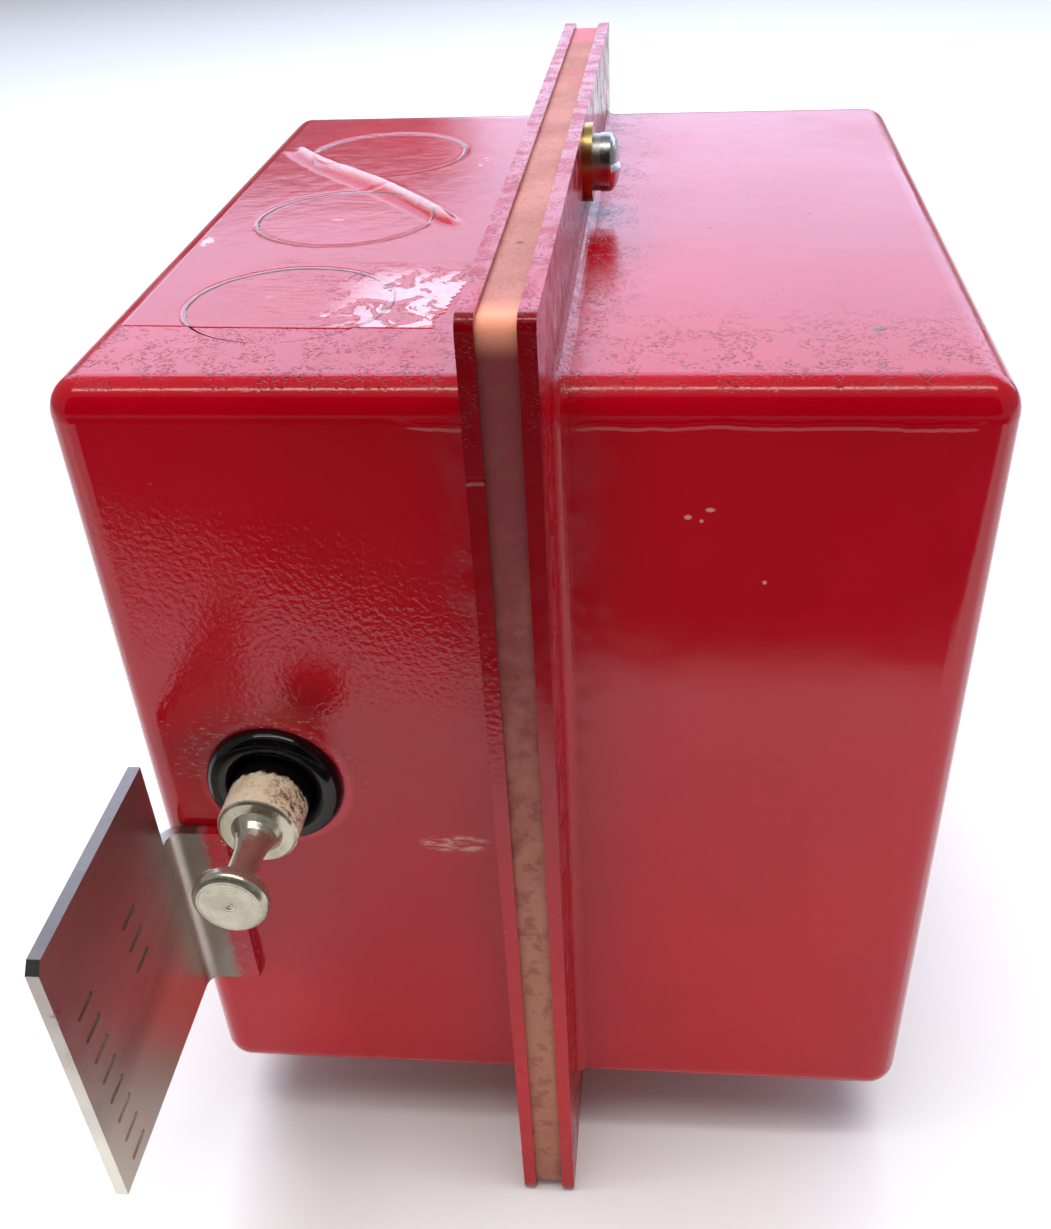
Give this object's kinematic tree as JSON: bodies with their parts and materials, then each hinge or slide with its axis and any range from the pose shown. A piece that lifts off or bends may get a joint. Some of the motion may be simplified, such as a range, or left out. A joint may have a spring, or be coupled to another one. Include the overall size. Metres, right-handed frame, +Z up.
{
  "type": "gas-operated pressure switch",
  "caption": "Pressure switch in two flanged red steel shells with a thick gasket, a push and pull reset stem and a bare indicator plate.",
  "frame": {"origin": "centre of the base shell's face that lies on the wall, at the middle of its four mounting holes", "axes": "+X away from the wall through the base shell, gasket and cover shell; +Y from the stem's front wall to the gas inlet at the rear; +Z up through the knockouts"},
  "size_m": [0.0917, 0.1498, 0.1216],
  "materials": {
    "red_enamel": "glossy red enamel with fine orange peel",
    "gasket_rubber": "matt natural rubber, cut edge",
    "plated_screws": "bright zinc plate",
    "plated_steel": "dull zinc plate",
    "plate_steel": "rolled plated sheet, slightly tarnished",
    "nickel": "lathe-turned, nickel plated, worn",
    "brass_parts": "satin",
    "black_rubber": "glossy moulded rubber",
    "phenolic": "moulded phenolic",
    "copper": "bare copper with silver contacts",
    "dark_steel": "black oxide",
    "green_earth": "green passivated"
  },
  "bodies": {
    "enclosure": {"base_shell": "red_enamel", "cover_shell": "red_enamel", "flange_gasket": "gasket_rubber", "knockout_slugs": "red_enamel", "cover_screws": "plated_screws", "cover_flat_washers": "brass_parts", "cover_lock_washers": "plated_steel", "stem_grommet": "black_rubber", "indicator_plate": "plate_steel", "guide_bush": "brass_parts", "front_bracket": "plated_steel", "rear_bracket": "plated_steel", "frame_screws": "plated_screws", "actuator_cylinder": "brass_parts", "cylinder_sealing_washer": "black_rubber", "cylinder_lock_nut": "brass_parts", "mounting_strap": "plated_steel", "strap_screws": "plated_screws", "switch_screws": "plated_screws", "switch_body": "phenolic", "toggle_pin": "plated_screws", "over_centre_spring": "plated_steel", "fixed_contacts": "brass_parts", "terminal_screws": "brass_parts", "earth_screw": "green_earth", "earth_washer": "brass_parts"},
    "stem": {"stem": "nickel", "piston": "brass_parts", "piston_ring": "black_rubber", "piston_nut": "plated_screws", "drive_yoke": "plated_steel", "yoke_set_screw": "dark_steel"},
    "toggle": {"toggle_lever": "phenolic", "contact_blades": "copper"}
  },
  "joints": [
    {"name": "stem_slide", "type": "slide", "parent": "enclosure", "child": "stem", "axis": [0, -1, 0], "range_m": [0, 0.0125]},
    {"name": "toggle_turn", "type": "hinge", "parent": "enclosure", "child": "toggle", "pos_m": [0.044, -0.006, 0.0022], "axis": [0, 0, 1], "range_deg": [0, 36.45], "deforming": ["over_centre_spring"]}
  ],
  "couplings": [
    {"joint": "toggle_turn", "follows": "stem_slide", "rad_per_m": 50.852}
  ]
}
